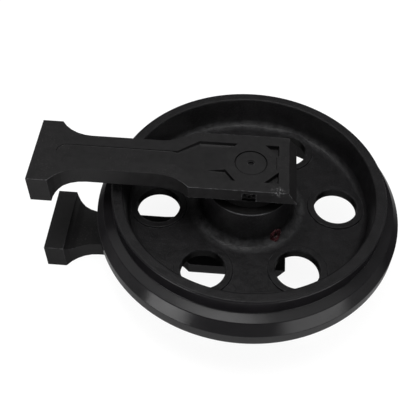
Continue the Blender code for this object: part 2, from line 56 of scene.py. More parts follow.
camera_ahead = Vector((-0.037867, 0.631397, -0.774535))


def added(name, data):
    """A new object in the scene that shows some data."""
    made = bpy.data.objects.new(name, data)
    bpy.context.scene.collection.objects.link(made)
    return made


lens = bpy.data.cameras.new("photo_camera")
lens.sensor_width = sensor_width
lens.lens = focal_pixels * sensor_width / photo_side
camera = added("photo_camera", lens)
camera_turn = Matrix((camera_right, -camera_down, -camera_ahead)).transposed().to_4x4()
camera.matrix_world = Matrix.Translation(wheel_axis + camera_from_axis) @ camera_turn
bpy.context.scene.camera = camera
bpy.context.scene.view_settings.view_transform = "Standard"


# Floor
# White paper under and behind the idler. The camera sees it white with a faint shadow.
floor_half = 12.0
paper_tone = 0.85
paper_glow = 0.90
shadow_strength = 1.2


def new_material(name):
    """An empty node material with its tree and its output."""
    made = bpy.data.materials.new(name)
    made.use_nodes = True
    tree = made.node_tree
    tree.nodes.clear()
    out = tree.nodes.new("ShaderNodeOutputMaterial")
    return made, tree, out


def node(tree, kind, **values):
    """A node with its settings. Its input sockets are given by name, or by number after a _."""
    made = tree.nodes.new(kind)
    for key, value in values.pop("settings", {}).items():
        setattr(made, key, value)
    for key, value in values.items():
        socket = made.inputs[int(key[1:]) if key[0] == "_" else key.replace("_", " ")]
        if isinstance(value, bpy.types.NodeSocket):
            tree.links.new(value, socket)
        else:
            socket.default_value = value
    return made


def worked_out(tree, operation, *values):
    """The result of a Math node."""
    numbered = {f"_{i}": value for i, value in enumerate(values)}
    return node(tree, "ShaderNodeMath", settings={"operation": operation}, **numbered).outputs[0]


def grey(tone):
    """A grey with its alpha."""
    return (tone, tone, tone, 1.0)


def mesh_of(name, work):
    """A mesh of the shape in a bmesh, which is freed."""
    mesh = bpy.data.meshes.new(name)
    work.to_mesh(mesh)
    work.free()
    return mesh


paper, tree, out = new_material("white_paper")
rays = node(tree, "ShaderNodeLightPath").outputs
seen = worked_out(tree, "MAXIMUM", rays["Is Camera Ray"], rays["Is Glossy Ray"])
seen = worked_out(tree, "MAXIMUM", seen, rays["Is Transmission Ray"])
plain = node(tree, "ShaderNodeBsdfDiffuse", Color=grey(paper_tone)).outputs[0]
dimmed = node(tree, "ShaderNodeBsdfDiffuse", Color=grey((1 - paper_glow) * shadow_strength)).outputs[0]
glow = node(tree, "ShaderNodeEmission", Color=grey(paper_glow), Strength=1.0).outputs[0]
lit = node(tree, "ShaderNodeAddShader", _0=dimmed, _1=glow).outputs[0]
mixed = node(tree, "ShaderNodeMixShader", _0=seen, _1=plain, _2=lit).outputs[0]
tree.links.new(mixed, out.inputs["Surface"])

work = bmesh.new()
bmesh.ops.create_grid(work, x_segments=1, y_segments=1, size=floor_half)
paper_floor = added("paper_floor", mesh_of("paper_floor", work))
paper_floor.data.materials.append(paper)


# Studio light
# A bright cloth box hangs over the idler under a long dim one, and two low ones stand on the floor
# at its left and right front. The ceiling glows from their light. The walls of the room are white
# cloth up to a little over the table and dark above it.
wall_light = 0.08
ceiling_light = 0.9
ceiling_middle = Vector((0.12, 0.05, 0.99))
ceiling_from, ceiling_full = 0.50, 0.85
cloth_edge = 0.13
cloth_fade = 0.05
sky_colour = (0.99, 0.995, 1.0, 1.0)


def ramped(tree, value, start=0.0, end=1.0, low=0.0, high=1.0, interpolation="LINEAR"):
    """A value that goes from low to high while another goes from start to end, and stays there."""
    made = node(tree, "ShaderNodeMapRange", Value=value, From_Min=start, From_Max=end, To_Min=low,
                To_Max=high, settings={"interpolation_type": interpolation})
    return made.outputs[0]


world = bpy.data.worlds.new("studio_room")
world.use_nodes = True
bpy.context.scene.world = world
tree = world.node_tree
tree.nodes.clear()
way = node(tree, "ShaderNodeTexCoord").outputs["Generated"]
facing = node(tree, "ShaderNodeVectorMath", _0=way, _1=ceiling_middle,
              settings={"operation": "DOT_PRODUCT"}).outputs["Value"]
room = ramped(tree, facing, ceiling_from, ceiling_full, wall_light, ceiling_light, "SMOOTHSTEP")
upward = node(tree, "ShaderNodeSeparateXYZ", Vector=way).outputs["Z"]
cloth = ramped(tree, upward, cloth_edge + cloth_fade, cloth_edge, interpolation="SMOOTHSTEP")
sky = node(tree, "ShaderNodeBackground", Color=sky_colour, Strength=worked_out(tree, "MAXIMUM", room, cloth))
node(tree, "ShaderNodeOutputWorld", Surface=sky.outputs[0])


def soft_box(name, place, width, height, glow):
    """A cloth-fronted lamp that faces the wheel's middle. A glow of 1 is that of white paper."""
    lamp = bpy.data.lights.new(name, "AREA")
    lamp.shape = "RECTANGLE"
    lamp.size = width
    lamp.size_y = height
    lamp.energy = glow * math.pi * width * height
    holder = added(name, lamp)
    holder.location = place
    away = Vector(place) - wheel_axis
    holder.rotation_euler = away.to_track_quat("Z", "Y").to_euler()
    holder.visible_camera = False


soft_box("top_box", place=(-0.12, -0.08, 1.70), width=0.88, height=0.50, glow=11.0)
soft_box("long_box", place=(-0.22, 0.05, 1.90), width=1.10, height=3.40, glow=2.1)
soft_box("left_box", place=(-1.165, -1.30, 0.28), width=0.78, height=0.56, glow=15.0)
soft_box("right_box", place=(1.20, -1.17, 0.28), width=1.15, height=0.56, glow=8.0)


# Idler wheel
# One steel casting: hub, web with six collared holes and rim with the guide flange in its middle.
# The web and hub keep the sand-cast skin under the paint, the rim and flange are turned.

# Sizes in mm from the wheel's centre. A half is measured from its middle plane
wheel_sides = 144
hole_sides = 64
big_round = 5.0
big_round_step, small_round_step = 9.0, 18.0
same_point = 1e-4
hub_bore = 26.6
oil_room_radius, oil_room_half = 31.5, 17.0
bush_flange_radius, bush_seat_half = 33.1, 42.7
seal_pocket_radius, seal_pocket_half = 40.5, 47.0
hub_radius, hub_half = 60.5, 60.0
web_half = 5.0
hub_foot, rim_foot = 67.9, 170.1
rim_inner, rim_half = 176.4, 51.0
tread_radius, flange_half = 191.5, 27.5
shoulder_radius, shoulder_half = 205.0, 24.0
crest_radius, crest_half = 215.0, 8.5
bored_edge = 0.8
hub_edge = 1.2
hub_foot_radius = 14.0
rim_foot_radius = 11.0
rim_edge = 3.0
flange_foot_radius = 1.5
flange_edge = 2.2
lip_width, lip_height, lip_slack = 0.8, 1.3, 0.3
turned_from = 190.0
crest_from = 213.5

hole_circle = 127.6
hole_radius = 30.7
hole_turn = math.radians(4.6)
hole_count = 6
hole_slack = 0.3
collar_top = web_half + 2.4
collar_radius = hole_radius + 9.7
collar_edge = 1.4
collar_draft = 1.2
collar_root = 2.0
collar_overlap = 3.0
mouth_width, mouth_depth = 1.2, 1.4
mouth_reach = 4.0

plug_turn = math.radians(-53.3)
plug_height = 13.0
plug_seat = 67.5
spot_face_radius, spot_face_reach = 7.4, 15.0
plug_bore_radius, plug_bore_reach, plug_bore_depth = 5.8, 6.0, 10.6
oil_channel_radius, oil_channel_depth = 3.0, 41.0

bare_steel = (0.10, 0.10, 0.105)
dust_colour = (0.20, 0.19, 0.18)
# The pale colour of the highlight painted in the wheel's fillets
fillet_highlight_colour = (0.040, 0.040, 0.041)
scuff_colour = (0.10, 0.10, 0.10)
# The darkest colour: oil and painted shade on the brackets' collars under the head
oil_and_shade_colour = (0.0012, 0.0012, 0.0012)
paint_gloss = 0.09
flat_share = 0.95
limb_from, limb_full = 0.70, 0.86
limb_shine = 0.30
wear_fade = 5.0
mottle_gloss, mottle_dull = 0.06, 0.08


def make_group(name, inputs, *outputs):
    """A shader node group with its ends. Its inputs are numbers with their values, its outputs numbers."""
    group = bpy.data.node_groups.new(name, "ShaderNodeTree")
    for label, value in inputs.items():
        socket = group.interface.new_socket(label, in_out="INPUT", socket_type="NodeSocketFloat")
        socket.default_value = value
    for label in outputs:
        group.interface.new_socket(label, in_out="OUTPUT", socket_type="NodeSocketFloat")
    start = group.nodes.new("NodeGroupInput")
    end = group.nodes.new("NodeGroupOutput")
    return group, start.outputs, end.inputs


def product(tree, *masks):
    """Several masks multiplied."""
    total = masks[0]
    for mask in masks[1:]:
        total = worked_out(tree, "MULTIPLY", total, mask)
    return total


def object_place(tree):
    """The place of a point on a piece."""
    return node(tree, "ShaderNodeTexCoord").outputs["Object"]


def from_axis(tree):
    """X, Y and Z of a point from the middle of the wheel."""
    moved = node(tree, "ShaderNodeVectorMath", _0=object_place(tree), _1=wheel_axis,
                 settings={"operation": "SUBTRACT"})
    return node(tree, "ShaderNodeSeparateXYZ", Vector=moved.outputs[0]).outputs


def axis_radius(tree, point):
    """How far a point is from the wheel's axis."""
    level = node(tree, "ShaderNodeCombineXYZ", X=point["X"], Y=point["Y"]).outputs[0]
    return node(tree, "ShaderNodeVectorMath", _0=level, settings={"operation": "LENGTH"}).outputs["Value"]


def noise(tree, scale, detail, roughness=0.5):
    """Cloudy noise over a piece."""
    return node(tree, "ShaderNodeTexNoise", Vector=object_place(tree), Scale=scale, Detail=detail,
                Roughness=roughness).outputs["Fac"]


def sized(tree, size):
    """The scale of a noise with lumps of a size in mm."""
    return worked_out(tree, "DIVIDE", 1 / MM, size)


# Cast skin: sand pits and soft swells of a casting or forging, as a height and a tone mask
grain_height = 0.3
swell_height = 1.5
cast_skin, given, wanted = make_group(
    "cast_skin", {"Grain Size": 1.2, "Swell Size": 12.0, "Pits": 0.4}, "Height", "Mottle")
grain = noise(cast_skin, sized(cast_skin, given["Grain Size"]), detail=3.0, roughness=0.6)
swell = noise(cast_skin, sized(cast_skin, given["Swell Size"]), detail=4.0, roughness=0.55)
pits = product(cast_skin, ramped(cast_skin, grain, start=0.32, end=0.46, low=-1.0, high=0.0), given["Pits"])
pitted = worked_out(cast_skin, "MULTIPLY_ADD", grain, grain_height, pits)
cast_skin.links.new(worked_out(cast_skin, "MULTIPLY_ADD", swell, swell_height, pitted), wanted["Height"])
cast_skin.links.new(ramped(cast_skin, swell, start=0.3, end=0.7), wanted["Mottle"])

# Edge wear: paint rubbed thin where an edge stands out, broken up by noise
edge_wear, given, wanted = make_group("edge_wear", {"Reach": 1.5, "Amount": 0.5}, "Worn")
reach = worked_out(edge_wear, "MULTIPLY", given["Reach"], MM)
rounded = node(edge_wear, "ShaderNodeBevel", Radius=reach, settings={"samples": 6}).outputs[0]
true_way = node(edge_wear, "ShaderNodeNewGeometry").outputs["True Normal"]
likeness = node(edge_wear, "ShaderNodeVectorMath", _0=rounded, _1=true_way,
                settings={"operation": "DOT_PRODUCT"}).outputs["Value"]
edge = ramped(edge_wear, likeness, start=0.995, end=0.90)
patches = noise(edge_wear, scale=160.0, detail=5.0, roughness=0.7)
broken = ramped(edge_wear, patches, start=0.40, end=0.62)
edge_wear.links.new(product(edge_wear, edge, broken, given["Amount"]), wanted["Worn"])

# Dust: pale specks in drifts on the faces that look up
dust, given, wanted = make_group("dust", {"Amount": 0.3, "Speck Size": 2.0}, "Dusty")
specks = noise(dust, sized(dust, given["Speck Size"]), detail=4.0, roughness=0.75)
speck = ramped(dust, specks, start=0.60, end=0.76)
drift = ramped(dust, noise(dust, scale=14.0, detail=2.0), start=0.45, end=0.65)
looks = node(dust, "ShaderNodeNewGeometry").outputs["Normal"]
looks_up = ramped(dust, node(dust, "ShaderNodeSeparateXYZ", Vector=looks).outputs["Z"], start=0.3, end=0.9)
dust.links.new(product(dust, speck, drift, looks_up, given["Amount"]), wanted["Dusty"])

# Fillet highlight: a pale lumpy band painted as a highlight in the round corners at the hub and, on the far
# side only, at the rim, where those corners catch the light. It is patchy with lumps. A corner's radii are
# where its band starts, is full, fades and ends.
hub_corner = (63.0, 69.0, 79.0, 85.0)
rim_corner = (155.0, 161.0, 169.0, 173.0)
far_side_from, far_side_full = 60.0, 130.0
rim_highlight = 0.7
fillet_highlight, given, wanted = make_group("fillet_highlight", {"Amount": 0.55}, "Highlight")
point = from_axis(fillet_highlight)
radius = axis_radius(fillet_highlight, point)
bands = []
for start, full, fade, end in (hub_corner, rim_corner):
    rise = ramped(fillet_highlight, radius, start * MM, full * MM)
    fall = ramped(fillet_highlight, radius, end * MM, fade * MM)
    bands.append(product(fillet_highlight, rise, fall))
far_side = ramped(fillet_highlight, point["Y"], far_side_from * MM, far_side_full * MM, high=rim_highlight)
band = worked_out(fillet_highlight, "MAXIMUM", bands[0], product(fillet_highlight, bands[1], far_side))
lumps = noise(fillet_highlight, scale=120.0, detail=5.0, roughness=0.7)
uneven = ramped(fillet_highlight, lumps, start=0.36, end=0.60, low=0.15)
fillet_highlight.links.new(product(fillet_highlight, band, uneven, given["Amount"]), wanted["Highlight"])


def grouped(tree, group, **values):
    """The outputs of a shared group placed with its input values."""
    return node(tree, "ShaderNodeGroup", settings={"node_tree": group}, **values).outputs


def blended(tree, mask, first, second):
    """A colour between two, by a mask."""
    first, second = (c if isinstance(c, bpy.types.NodeSocket) else (*c, 1.0) for c in (first, second))
    mix = node(tree, "ShaderNodeMix", settings={"data_type": "RGBA"}, _0=mask, _6=first, _7=second)
    return mix.outputs[2]


def bumpy(tree, height, relief):
    """The normal of a skin with a relief in mm."""
    return node(tree, "ShaderNodeBump", Height=height, Strength=1.0, Distance=relief * MM).outputs["Normal"]


def paint_coat(tree, out, colour, roughness, normal, dull_from=0.32, dull_full=0.53):
    """The shader of a thin paint film.

    It is glossy seen squarely, flat from aside, and shines again at its limb.
    """
    glossy = node(tree, "ShaderNodeBsdfPrincipled", Base_Color=colour, Roughness=roughness, Normal=normal)
    glossy.inputs["Specular IOR Level"].default_value = paint_gloss
    flat = node(tree, "ShaderNodeBsdfDiffuse", Color=colour, Normal=normal)
    glancing = node(tree, "ShaderNodeLayerWeight", Blend=0.5).outputs["Facing"]
    dulled = ramped(tree, glancing, dull_from, dull_full, high=flat_share)
    shine = ramped(tree, glancing, limb_from, limb_full, high=limb_shine)
    coat = node(tree, "ShaderNodeMixShader", _0=worked_out(tree, "SUBTRACT", dulled, shine),
                _1=glossy.outputs[0], _2=flat.outputs[0])
    tree.links.new(coat.outputs[0], out.inputs["Surface"])


def black_paint(name, tone, spread, grain, swell, relief, roughness, wear, dustiness,
                wear_from=None, with_fillet_highlight=False, oil_and_shade=None, knocks=None):
    """Sprayed black paint over cast or forged steel.

    Its lightest mottles are spread times its tone. With wear_from, in mm, only edges farther than
    that from the idler's long middle line are rubbed. The fillet flag paints a pale highlight in the
    wheel's fillets, where they catch the light.
    The oil group's mask says where the paint is dark with oil and painted shade, the knocks group's where it
    is scuffed.
    """
    made, tree, out = new_material(name)
    skin = grouped(tree, cast_skin, Grain_Size=grain, Swell_Size=swell)
    rubbed = grouped(tree, edge_wear, Amount=wear)["Worn"]
    if wear_from is not None:
        aside = worked_out(tree, "ABSOLUTE", from_axis(tree)["Y"])
        rubbed = product(tree, rubbed, ramped(tree, aside, wear_from * MM, (wear_from + wear_fade) * MM))
    colour = blended(tree, skin["Mottle"], tone, [c * spread for c in tone])
    colour = blended(tree, rubbed, colour, bare_steel)
    colour = blended(tree, grouped(tree, dust, Amount=dustiness)["Dusty"], colour, dust_colour)
    # Painted highlight: a pale band in the wheel's fillets where they catch the light
    if with_fillet_highlight:
        colour = blended(tree, grouped(tree, fillet_highlight)["Highlight"], colour, fillet_highlight_colour)
    if knocks:
        colour = blended(tree, grouped(tree, knocks)["Scuffed"], colour, scuff_colour)
    # Oil and painted shade: the collar under the head is darkened
    if oil_and_shade:
        colour = blended(tree, grouped(tree, oil_and_shade)["Oil And Shade"], colour, oil_and_shade_colour)
    rough = ramped(tree, skin["Mottle"], low=roughness - mottle_gloss, high=roughness + mottle_dull)
    paint_coat(tree, out, colour, rough, bumpy(tree, skin["Height"], relief))
    return made


def turned_black_paint(name, **coat):
    """Black paint on a turned face, smoother than on the cast skin."""
    made, tree, out = new_material(name)
    skin = grouped(tree, cast_skin, Grain_Size=0.9, Swell_Size=30.0, Pits=0.2)
    colour = blended(tree, skin["Mottle"], (0.0036, 0.0034, 0.0038), (0.0054, 0.0050, 0.0056))
    colour = blended(tree, grouped(tree, edge_wear, Amount=0.5)["Worn"], colour, bare_steel)
    rough = ramped(tree, skin["Mottle"], low=0.15, high=0.25)
    paint_coat(tree, out, colour, rough, bumpy(tree, skin["Height"], relief=0.04), **coat)
    return made


cast_paint = black_paint("cast_black_paint", tone=(0.0046, 0.0044, 0.0047), spread=1.6, grain=1.6,
                         swell=14.0, relief=0.70, roughness=0.36, wear=0.4, dustiness=0.2, with_fillet_highlight=True)
turned_paint = turned_black_paint("turned_black_paint")
crest_paint = turned_black_paint("polished_crest_paint", dull_from=0.50, dull_full=0.90)
# Darker, duller black paint as painted shade: on the holes' walls, the hub's end face under the bracket and
# the lock pins in their pockets
dark_shade_paint = black_paint("painted_shade_black_paint", tone=(0.0022, 0.0021, 0.0021), spread=1.4, grain=1.0, swell=6.0,
                         relief=0.05, roughness=0.55, wear=0.0, dustiness=0.1)

# The hub's upper lip has a painted highlight at its front, where its edge catches the light
highlight_from, highlight_full = -51.5, -56.0
lip_highlight_paint, tree, out = new_material("painted_lip_highlight")
skin = grouped(tree, cast_skin, Grain_Size=0.8, Swell_Size=7.0, Pits=0.1)
point = from_axis(tree)
front = ramped(tree, point["Y"], highlight_from * MM, highlight_full * MM)
lit_front = product(tree, front, worked_out(tree, "GREATER_THAN", point["Z"], 0.0))
colour = blended(tree, skin["Mottle"], (0.008, 0.008, 0.0085), (0.060, 0.060, 0.063))
colour = blended(tree, lit_front, (0.0040, 0.0039, 0.0041), colour)
rough = ramped(tree, skin["Mottle"], low=0.34, high=0.50)
paint_coat(tree, out, colour, rough, bumpy(tree, skin["Height"], relief=0.06))


def softened(corners):
    """An outline with each of its (r, z, radius) corners rounded."""
    points = []
    count = len(corners)
    for i, (r, z, radius) in enumerate(corners):
        corner = Vector((r, z))
        if radius == 0:
            points.append(corner)
            continue
        back = (Vector(corners[i - 1][:2]) - corner).normalized()
        ahead = (Vector(corners[(i + 1) % count][:2]) - corner).normalized()
        half = back.angle(ahead) / 2
        start = corner + back * radius / math.tan(half)
        centre = corner + (back + ahead).normalized() * radius / math.sin(half)
        sweep = math.pi - 2 * half
        step = big_round_step if radius > big_round else small_round_step
        steps = max(2, math.ceil(math.degrees(sweep) / step))
        spoke = start - centre
        side = 1 if back.cross(ahead) < 0 else -1
        for k in range(steps + 1):
            angle = side * sweep * k / steps
            c, n = math.cos(angle), math.sin(angle)
            points.append(centre + Vector((spoke.x * c - spoke.y * n, spoke.x * n + spoke.y * c)))
    return points


def turned(name, corners, sides, slot_of=None):
    """A mesh in mm turned from an outline that is closed or runs from axis to axis.

    slot_of(r, z) picks the material slot.
    """
    points = softened(corners)
    strips = len(points) - (1 if points[0].x == 0 else 0)
    work = bmesh.new()
    rings = []
    for k in range(sides):
        c, n = math.cos(math.tau * k / sides), math.sin(math.tau * k / sides)
        rings.append([work.verts.new((q.x * c, q.x * n, q.y)) for q in points])
    for k in range(sides):
        here, there = rings[k], rings[(k + 1) % sides]
        for i in range(strips):
            j = (i + 1) % len(points)
            face = work.faces.new((here[i], there[i], there[j], here[j]))
            if slot_of:
                middle = (points[i] + points[j]) / 2
                face.material_index = slot_of(middle.x, middle.y)
    bmesh.ops.remove_doubles(work, verts=work.verts, dist=same_point)
    bmesh.ops.recalc_face_normals(work, faces=work.faces)
    return mesh_of(name, work)


def both_halves(half):
    """An outline made of its upper half and the same half mirrored below."""
    return half + [(r, -z, radius) for r, z, radius in reversed(half)]


def placed(mesh, matrices):
    """One mesh of several copies."""
    work = bmesh.new()
    for matrix in matrices:
        copy = mesh.copy()
        copy.transform(matrix)
        work.from_mesh(copy)
        bpy.data.meshes.remove(copy)
    return mesh_of(mesh.name + "_all", work)


def cut_or_join(target, mesh, operation):
    """Cuts a mesh out of an object or joins it on, at once."""
    tool = added("tool", mesh)
    step = target.modifiers.new("step", "BOOLEAN")
    step.operation = operation
    step.object = tool
    step.solver = "EXACT"
    bpy.context.view_layer.update()
    made = bpy.data.meshes.new_from_object(target.evaluated_get(bpy.context.evaluated_depsgraph_get()))
    target.modifiers.clear()
    target.data = made
    bpy.data.objects.remove(tool)


def even_shading(item):
    """Lets the large faces of a smooth piece set its normals, so that flats and cones look true."""
    weights = item.modifiers.new("even_shading", "WEIGHTED_NORMAL")
    weights.keep_sharp = True


def finished(item, sharp=30):
    """Moves a piece made in mm round the wheel's centre to its place, and smooths its faces."""
    item.data.transform(Matrix.Translation(wheel_axis) @ Matrix.Scale(MM, 4))
    item.data.shade_smooth()
    item.data.set_sharp_from_angle(angle=math.radians(sharp))
    even_shading(item)


wheel_section = both_halves([
    (oil_room_radius, oil_room_half, 0),
    (hub_bore, oil_room_half, bored_edge),
    (hub_bore, bush_seat_half, 0),
    (bush_flange_radius, bush_seat_half, 0),
    (bush_flange_radius, seal_pocket_half, 0),
    (seal_pocket_radius, seal_pocket_half, bored_edge),
    (seal_pocket_radius, hub_half, bored_edge),
    (hub_radius, hub_half, hub_edge),
    (hub_foot, web_half, hub_foot_radius),
    (rim_foot, web_half, rim_foot_radius),
    (rim_inner, rim_half, rim_edge),
    (tread_radius, rim_half, rim_edge),
    (tread_radius, flange_half, flange_foot_radius),
    (shoulder_radius, shoulder_half, flange_edge),
    (crest_radius, crest_half, flange_edge),
])
wheel_paints = (cast_paint, turned_paint, dark_shade_paint, lip_highlight_paint, crest_paint)
cast_slot, turned_slot, shade_slot, lip_highlight_slot, crest_slot = range(len(wheel_paints))


def wheel_slot(r, z):
    """The paint of the wheel's face at a radius and a height from its middle."""
    if r > crest_from:
        return crest_slot
    # The hub's upper lip takes the paint with the painted highlight at its front
    if r < hub_radius + lip_slack and abs(z) > hub_half - lip_height:
        # Inside the lip, the hub's end face takes the darker paint as painted shade under the bracket
        return lip_highlight_slot if r > hub_radius - lip_width else shade_slot
    return turned_slot if r > turned_from or r < seal_pocket_radius else cast_slot


wheel = added("idler_wheel_cast", turned("idler_wheel_cast", wheel_section, wheel_sides, wheel_slot))
for wheel_paint in wheel_paints:
    wheel.data.materials.append(wheel_paint)

hole_places = []
for k in range(hole_count):
    hole_place = Matrix.Rotation(hole_turn + math.tau * k / hole_count, 4, "Z")
    hole_places.append(hole_place @ Matrix.Translation((hole_circle, 0, 0)))
collar = turned("collar", both_halves([
    (hole_radius - collar_overlap, collar_top, 0),
    (collar_radius, collar_top, collar_edge),
    (collar_radius + collar_draft, collar_root, 0),
]), hole_sides)
cut_or_join(wheel, placed(collar, hole_places), "UNION")
hole = turned("hole", both_halves([
    (0, collar_top + mouth_reach, 0),
    (hole_radius + mouth_width + mouth_reach, collar_top + mouth_reach, 0),
    (hole_radius + mouth_width, collar_top, 0),
    (hole_radius, collar_top - mouth_depth, 0),
]), hole_sides)
cut_or_join(wheel, placed(hole, hole_places), "DIFFERENCE")

# The holes' walls take the darker, duller paint as painted shade, for the deep shadow inside the holes
for face in wheel.data.polygons:
    for hole_place in hole_places:
        aside = (face.center - hole_place.translation).xy.length
        if aside < hole_radius + hole_slack and abs(face.center.z) < collar_top:
            face.material_index = shade_slot


def plug_frame():
    """The place of the hub plug's seat in mm from the wheel's centre, with Z pointing out of the hub."""
    outward = Vector((math.cos(plug_turn), math.sin(plug_turn), 0.0))
    up = Vector((0.0, 0.0, 1.0))
    turn = Matrix((up.cross(outward), up, outward)).transposed().to_4x4()
    return Matrix.Translation(outward * plug_seat + up * plug_height) @ turn


for radius, top, foot in ((spot_face_radius, spot_face_reach, 0),
                          (plug_bore_radius, plug_bore_reach, -plug_bore_depth),
                          (oil_channel_radius, 0, -oil_channel_depth)):
    outline = [(0, top, 0), (radius, top, 0), (radius, foot, 0), (0, foot, 0)]
    drill = turned("drill", outline, hole_sides // 2)
    cut_or_join(wheel, placed(drill, [plug_frame()]), "DIFFERENCE")
finished(wheel)
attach(wheel, "wheel")
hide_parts("idler_wheel")


# Hub oil plug
# A socket-headed steel plug in the hub's flank. It was set in red thread sealant before the wheel
# was painted, and the sealant has squeezed out round it in an uneven bead.
bead_ring = 5.9
bead_thickness = 3.3
bead_waves = ((0.16, 3, 0.6), (0.11, 7, 2.0), (0.06, 13, 0.0))
bead_flatness = 0.45
bead_stretch_up, bead_stretch_down = 1.42, 0.95
bead_rise = 0.7
bead_lean = 0.5
bead_lean_from = 1.35
bead_over_web = 0.6
bead_steps = 72
bead_sides = 12
bead_sharp = 60
facet_angle = 36
facet_gap = 0.01


def bare_surface(tree, out, colour, roughness, normal):
    """The shader of a surface without paint."""
    shader = node(tree, "ShaderNodeBsdfPrincipled", Base_Color=colour, Roughness=roughness, Normal=normal)
    tree.links.new(shader.outputs[0], out.inputs["Surface"])
    return shader


work = bmesh.new()
rings = []
for k in range(bead_steps):
    a = math.tau * k / bead_steps
    waves = sum(size * math.sin(count * a + turn) for size, count, turn in bead_waves)
    thickness = bead_thickness * (1 + waves)
    stretch = bead_stretch_up if a < math.pi else bead_stretch_down
    ring = []
    for j in range(bead_sides):
        b = math.tau * j / bead_sides
        r = bead_ring + thickness * math.cos(b)
        high = r * math.sin(a) * stretch
        over_web = min(max(plug_height + high - web_half, bead_over_web), plug_height - web_half)
        foot = hub_foot_radius - math.sqrt(hub_foot_radius ** 2 - (hub_foot_radius - over_web) ** 2)
        seat = bead_rise + bead_lean * (foot - bead_lean_from)
        ring.append(work.verts.new((r * math.cos(a), high, seat + bead_flatness * thickness * math.sin(b))))
    rings.append(ring)
for k in range(bead_steps):
    here, there = rings[k], rings[(k + 1) % bead_steps]
    for j in range(bead_sides):
        i = (j + 1) % bead_sides
        work.faces.new((here[j], there[j], there[i], here[i]))
bmesh.ops.recalc_face_normals(work, faces=work.faces)
bead = added("sealant_bead", mesh_of("sealant_bead", work))
bead.data.transform(plug_frame())
finished(bead, bead_sharp)

sealant, tree, out = new_material("red_sealant")
skin = grouped(tree, cast_skin, Grain_Size=0.8, Swell_Size=4.0, Pits=0.1)
colour = blended(tree, skin["Mottle"], (0.020, 0.0046, 0.0055), (0.043, 0.0125, 0.0150))
rough = ramped(tree, skin["Mottle"], low=0.18, high=0.34)
bare_surface(tree, out, colour, rough, bumpy(tree, skin["Height"], relief=0.1))
bead.data.materials.append(sealant)
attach(bead, "wheel")

# Smooth shading for a piece taken over from the model: its facets are joined, its true edges kept
smooth_shading = bpy.data.node_groups.new("smooth_shading", "GeometryNodeTree")
for end in ("INPUT", "OUTPUT"):
    smooth_shading.interface.new_socket("Geometry", in_out=end, socket_type="NodeSocketGeometry")
given = node(smooth_shading, "NodeGroupInput").outputs["Geometry"]
joined = node(smooth_shading, "GeometryNodeMergeByDistance", Geometry=given, Distance=facet_gap * MM)
plain = node(smooth_shading, "GeometryNodeRemoveAttribute", Geometry=joined.outputs[0], Name="custom_normal")
round_faces = node(smooth_shading, "GeometryNodeSetShadeSmooth", Geometry=plain.outputs[0],
                   Shade_Smooth=True, settings={"domain": "FACE"})
angle = node(smooth_shading, "GeometryNodeInputMeshEdgeAngle").outputs["Unsigned Angle"]
flat_enough = worked_out(smooth_shading, "LESS_THAN", angle, math.radians(facet_angle))
edges = node(smooth_shading, "GeometryNodeSetShadeSmooth", Geometry=round_faces.outputs[0],
             Shade_Smooth=flat_enough, settings={"domain": "EDGE"})
node(smooth_shading, "NodeGroupOutput", Geometry=edges.outputs[0])


def dressed(material, *names):
    """Gives pieces taken over from the model smooth shading and a material."""
    for name in names:
        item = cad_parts[name]
        item.data.materials.clear()
        item.data.materials.append(material)
        item.modifiers.new("smooth_shading", "NODES").node_group = smooth_shading
        even_shading(item)


plug_paint = black_paint("plug_black_paint", tone=(0.0070, 0.0068, 0.0070), spread=1.4, grain=0.8, swell=5.0,
                         relief=0.10, roughness=0.40, wear=0.5, dustiness=0.1)
dressed(plug_paint, "hub_oil_plug")


# Bushes
# Two flanged bushes of cast bronze, turned all over and pressed into the hub. The shaft stands
# still in them and the wheel runs on them in oil.

# Turning marks: fine grooves round the wheel's axis, as a height and a tone mask
turning_marks, given, wanted = make_group("turning_marks", {"Pitch": 0.4}, "Height", "Streak")
point = from_axis(turning_marks)
along = worked_out(turning_marks, "ADD", axis_radius(turning_marks, point), point["Z"])
grooves = node(turning_marks, "ShaderNodeTexNoise", W=along, Scale=sized(turning_marks, given["Pitch"]),
               Detail=2.0, settings={"noise_dimensions": "1D"}).outputs["Fac"]
turning_marks.links.new(grooves, wanted["Height"])
turning_marks.links.new(ramped(turning_marks, grooves, start=0.3, end=0.7), wanted["Streak"])


stain_shade = 0.35
stain_dulling = 0.14


def machined(name, dark, light, pitch, roughness, stain):
    """Turned or lapped metal with an oil stain."""
    made, tree, out = new_material(name)
    marks = grouped(tree, turning_marks, Pitch=pitch)
    skin = grouped(tree, cast_skin, Grain_Size=3.0, Swell_Size=16.0, Pits=0.0)
    colour = blended(tree, marks["Streak"], dark, light)
    oily = worked_out(tree, "MULTIPLY", skin["Mottle"], stain)
    colour = blended(tree, oily, colour, [c * stain_shade for c in dark])
    rough = ramped(tree, skin["Mottle"], low=roughness, high=roughness + stain_dulling)
    shader = bare_surface(tree, out, colour, rough, bumpy(tree, marks["Height"], relief=0.02))
    shader.inputs["Metallic"].default_value = 1.0
    return made


dressed(machined("turned_bronze", dark=(0.42, 0.25, 0.10), light=(0.58, 0.37, 0.17),
                 pitch=0.35, roughness=0.30, stain=0.5),
        "bush_upper", "bush_lower")


# Floating seals
# Each side has two hard iron rings with lapped faces that run on each other, one in the hub and one
# in the bracket, and a rubber toric ring under each that presses them together.
dressed(machined("lapped_seal_iron", dark=(0.20, 0.20, 0.21), light=(0.28, 0.28, 0.29),
                 pitch=0.20, roughness=0.16, stain=0.4),
        "seal_ring_wheel_upper", "seal_ring_wheel_lower", "seal_ring_bracket_upper",
        "seal_ring_bracket_lower")

